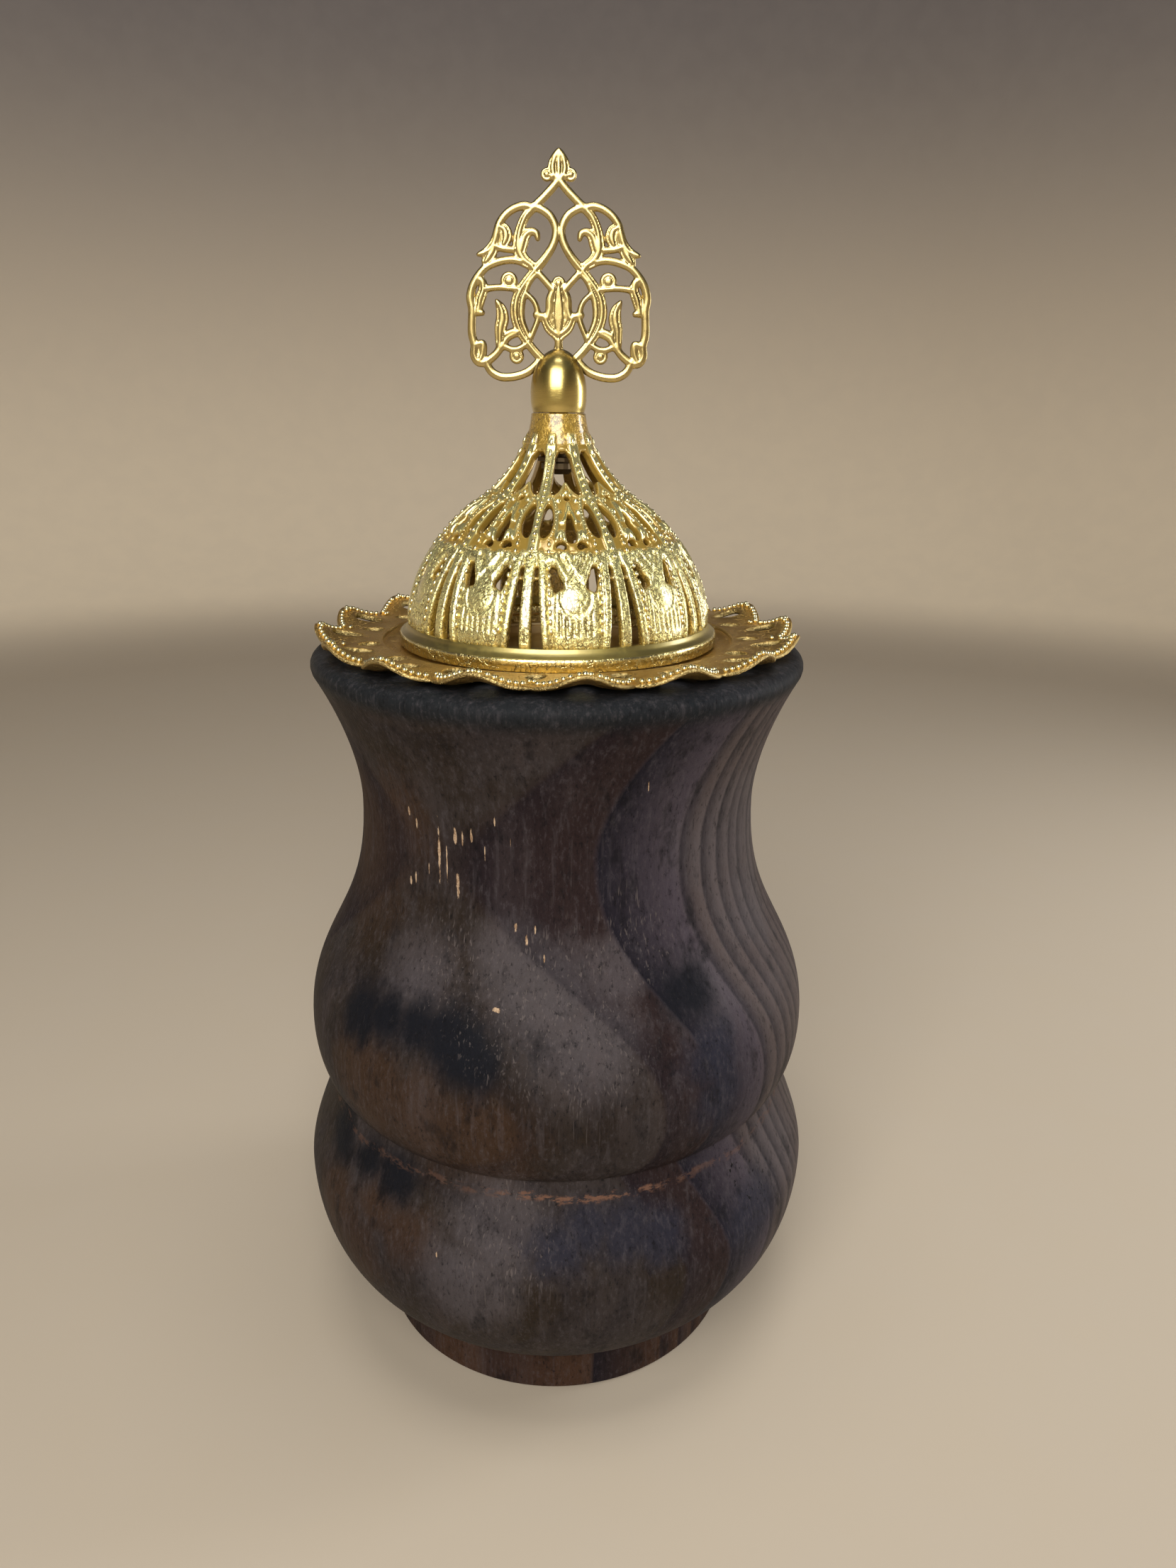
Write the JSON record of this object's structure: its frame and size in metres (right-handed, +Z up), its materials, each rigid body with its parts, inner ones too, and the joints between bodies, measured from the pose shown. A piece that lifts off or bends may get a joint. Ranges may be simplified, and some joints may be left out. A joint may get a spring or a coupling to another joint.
{
  "type": "incense burner",
  "caption": "Turned wooden incense burner: waisted vase body, scalloped pierced metal tray, ember dish and lift-off onion dome lid with a knob and flat openwork crest.",
  "frame": {"origin": "middle of the foot's underside, where the burner stands", "axes": "+Z up the turning's axis, the crest's flat face towards -Y and +X to its right"},
  "size_m": [0.0932, 0.0932, 0.2004],
  "materials": {
    "wood": "dark stained turned wood with a satin surface, scuffed pale at the waist",
    "gilt_bright": "bright yellow gilding over a rough pierced casting",
    "gilt_dull": "duller, pinker gilding over a grained casting",
    "gilt_satin": "smooth satin gilding",
    "tin": "dull tinned sheet",
    "steel": "plain screw steel"
  },
  "bodies": {
    "base": {"wood_body": "wood"},
    "tray": {"tray": "gilt_dull"},
    "dish": {"ember_dish": "tin"},
    "lid": {"dome_lid": "gilt_bright"},
    "finial": {"finial_knob": "gilt_satin", "finial_crest": "gilt_bright", "finial_screw": "steel", "finial_washer": "steel"}
  },
  "joints": [
    {"name": "tray_lift", "type": "slide", "parent": "base", "child": "tray", "axis": [0, 0, 1], "range_m": [0, 0.03]},
    {"name": "dish_lift", "type": "slide", "parent": "tray", "child": "dish", "axis": [0, 0, 1], "range_m": [0, 0.025]},
    {"name": "lid_lift", "type": "slide", "parent": "dish", "child": "lid", "axis": [0, 0, 1], "range_m": [0, 0.06]},
    {"name": "finial_turn", "type": "hinge", "parent": "lid", "child": "finial", "pos_m": [0, 0, 0.1637], "axis": [0, 0, 1], "continuous": true}
  ]
}
